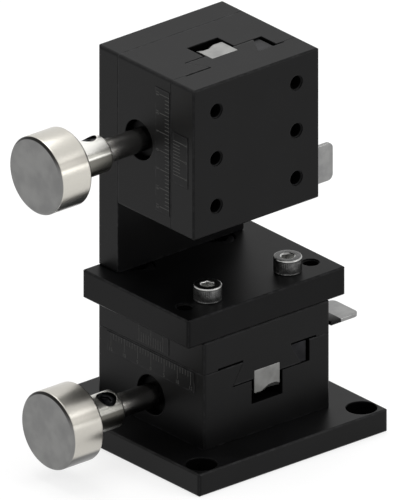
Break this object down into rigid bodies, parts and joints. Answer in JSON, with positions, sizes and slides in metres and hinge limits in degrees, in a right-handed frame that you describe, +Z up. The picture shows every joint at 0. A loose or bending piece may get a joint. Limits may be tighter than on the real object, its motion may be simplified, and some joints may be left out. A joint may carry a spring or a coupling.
{
  "type": "rack and pinion stage",
  "caption": "Two-axis rack and pinion stage: a horizontal dovetail slide on a base plate carries a vertical one on a riser; knobs drive the tables.",
  "frame": {"origin": "centre of the base plate's underside", "axes": "+X along the knobs' shafts, away from the knobs; -Y out of the vertical table's face; +Z up"},
  "size_m": [0.083, 0.06, 0.1005],
  "materials": {
    "black_anodised": "fine matt black anodised",
    "scale_black": "black anodised with pale filled marks",
    "knob_metal": "turned and polished",
    "shaft_steel": "ground",
    "rack_steel": "milled",
    "lever_steel": "stamped sheet, dull",
    "screw_steel": "bright",
    "black_steel": "black oxide",
    "bronze": "turned"
  },
  "bodies": {
    "base": {"base_plate": "black_anodised", "base_screws": "screw_steel", "x_body": "black_anodised", "x_gib": "black_steel", "x_gib_screws": "black_steel", "x_clamp_pad": "bronze", "x_front_bush": "bronze", "x_rear_bush": "bronze", "x_bush_screw": "black_steel", "x_drag_washer": "black_steel", "x_stop_pin": "screw_steel", "x_scale_strip": "scale_black"},
    "x_carriage": {"x_table": "black_anodised", "x_rack": "rack_steel", "x_rack_screws": "screw_steel", "x_vernier_strip": "scale_black", "bridge_plate": "black_anodised", "bridge_front_screws": "screw_steel", "bridge_rear_screws": "black_steel", "riser_plate": "black_anodised", "riser_screws": "screw_steel", "riser_dowels": "screw_steel", "riser_body_screws": "black_steel", "z_body": "black_anodised", "z_gib": "black_steel", "z_gib_screws": "black_steel", "z_clamp_pad": "bronze", "z_front_bush": "bronze", "z_rear_bush": "bronze", "z_bush_screw": "black_steel", "z_drag_washer": "black_steel", "z_stop_pin": "screw_steel", "z_scale_strip": "scale_black"},
    "z_carriage": {"z_table": "black_anodised", "z_rack": "rack_steel", "z_rack_screws": "screw_steel", "z_vernier_strip": "scale_black"},
    "x_knob_shaft": {"x_pinion_shaft": "shaft_steel", "x_retaining_ring": "black_steel", "x_knob": "knob_metal", "x_knob_set_screw": "black_steel"},
    "z_knob_shaft": {"z_pinion_shaft": "shaft_steel", "z_retaining_ring": "black_steel", "z_knob": "knob_metal", "z_knob_set_screw": "black_steel"},
    "x_clamp": {"x_clamp_screw": "screw_steel", "x_clamp_lever": "lever_steel"},
    "z_clamp": {"z_clamp_screw": "screw_steel", "z_clamp_lever": "lever_steel"}
  },
  "joints": [
    {"name": "x_slide", "type": "slide", "parent": "base", "child": "x_carriage", "axis": [0, 1, 0], "range_m": [-0.015, 0.015]},
    {"name": "z_slide", "type": "slide", "parent": "x_carriage", "child": "z_carriage", "axis": [0, 0, 1], "range_m": [-0.014, 0.015]},
    {"name": "x_knob_turn", "type": "hinge", "parent": "base", "child": "x_knob_shaft", "pos_m": [0, 0, 0.014], "axis": [1, 0, 0], "range_deg": [-287, 287]},
    {"name": "z_knob_turn", "type": "hinge", "parent": "x_carriage", "child": "z_knob_shaft", "pos_m": [0, 0.0045, 0.0805], "axis": [1, 0, 0], "range_deg": [-287, 287]},
    {"name": "x_clamp_turn", "type": "hinge", "parent": "base", "child": "x_clamp", "pos_m": [0.0208, -0.0115, 0.023], "axis": [1, 0, 0], "range_deg": [-30, 30]},
    {"name": "z_clamp_turn", "type": "hinge", "parent": "x_carriage", "child": "z_clamp", "pos_m": [0.0208, -0.0045, 0.069], "axis": [1, 0, 0], "range_deg": [-30, 30]}
  ],
  "couplings": [
    {"joint": "x_knob_turn", "follows": "x_slide", "rad_per_m": -333.33},
    {"joint": "z_knob_turn", "follows": "z_slide", "rad_per_m": -333.33}
  ]
}
